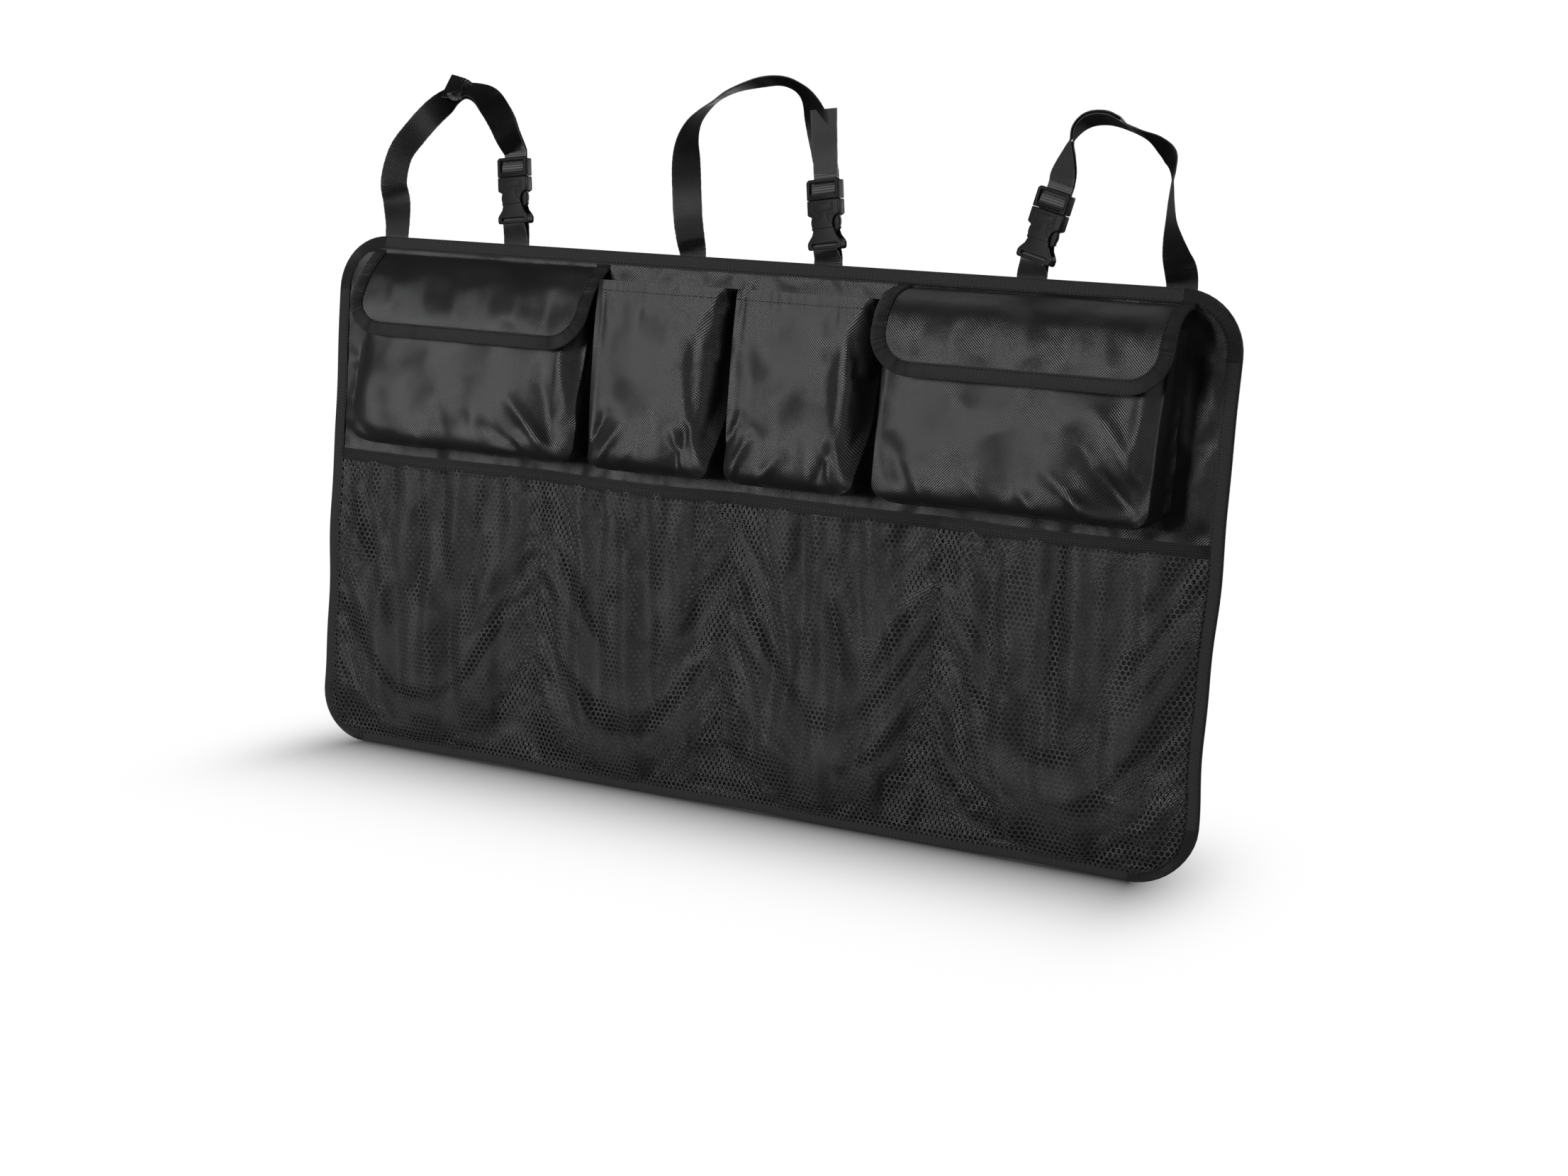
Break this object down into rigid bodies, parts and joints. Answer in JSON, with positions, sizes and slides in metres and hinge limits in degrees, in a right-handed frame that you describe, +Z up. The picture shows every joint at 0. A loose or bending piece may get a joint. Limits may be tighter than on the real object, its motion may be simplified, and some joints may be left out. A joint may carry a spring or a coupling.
{
  "type": "car trunk organizer",
  "caption": "Black fabric car trunk organizer that hangs on a back seat: flapped, open and net pockets on a bound panel, with webbing loops and side-release buckles.",
  "frame": {"origin": "middle of the panel's flat back face", "axes": "+X to the right seen from the pockets' side, +Y out of the panel's back towards the seat, +Z up"},
  "size_m": [0.84, 0.0899, 0.6215],
  "materials": {
    "fabric": "black coated polyester twill with a satin sheen",
    "tape": "black ribbed grosgrain and elastic tape",
    "net": "black knitted hexagonal mesh",
    "webbing": "black cross-ribbed polypropylene webbing",
    "buckle": "black moulded acetal, satin",
    "hook_and_loop": "black hook-and-loop tape"
  },
  "bodies": {
    "organizer": {"back_panel": "fabric", "left_pocket_front": "fabric", "left_pocket_gusset": "fabric", "right_pocket_front": "fabric", "right_pocket_gusset": "fabric", "left_flap": "fabric", "right_flap": "fabric", "centre_left_pocket": "fabric", "centre_right_pocket": "fabric", "edge_binding": "tape", "left_flap_binding": "tape", "right_flap_binding": "tape", "elastic_band": "tape", "left_hook_tape": "hook_and_loop", "left_loop_tape": "hook_and_loop", "right_hook_tape": "hook_and_loop", "right_loop_tape": "hook_and_loop", "left_long_strap": "webbing", "left_short_strap": "webbing", "middle_long_strap": "webbing", "middle_short_strap": "webbing", "right_long_strap": "webbing", "right_short_strap": "webbing", "left_buckle_socket": "buckle", "middle_buckle_socket": "buckle", "right_buckle_socket": "buckle", "net_panel": "net"},
    "left_plug": {"left_buckle_plug": "buckle"},
    "middle_plug": {"middle_buckle_plug": "buckle"},
    "right_plug": {"right_buckle_plug": "buckle"}
  },
  "joints": [
    {"name": "left_buckle_slide", "type": "slide", "parent": "organizer", "child": "left_plug", "axis": [-0.0958, 0, 0.9954], "range_m": [0, 0.03], "deforming": ["left_long_strap"]},
    {"name": "middle_buckle_slide", "type": "slide", "parent": "organizer", "child": "middle_plug", "axis": [-0.1219, 0, 0.9925], "range_m": [0, 0.03], "deforming": ["middle_long_strap"]},
    {"name": "right_buckle_slide", "type": "slide", "parent": "organizer", "child": "right_plug", "axis": [0.2419, 0, 0.9703], "range_m": [0, 0.03], "deforming": ["right_long_strap"]}
  ]
}
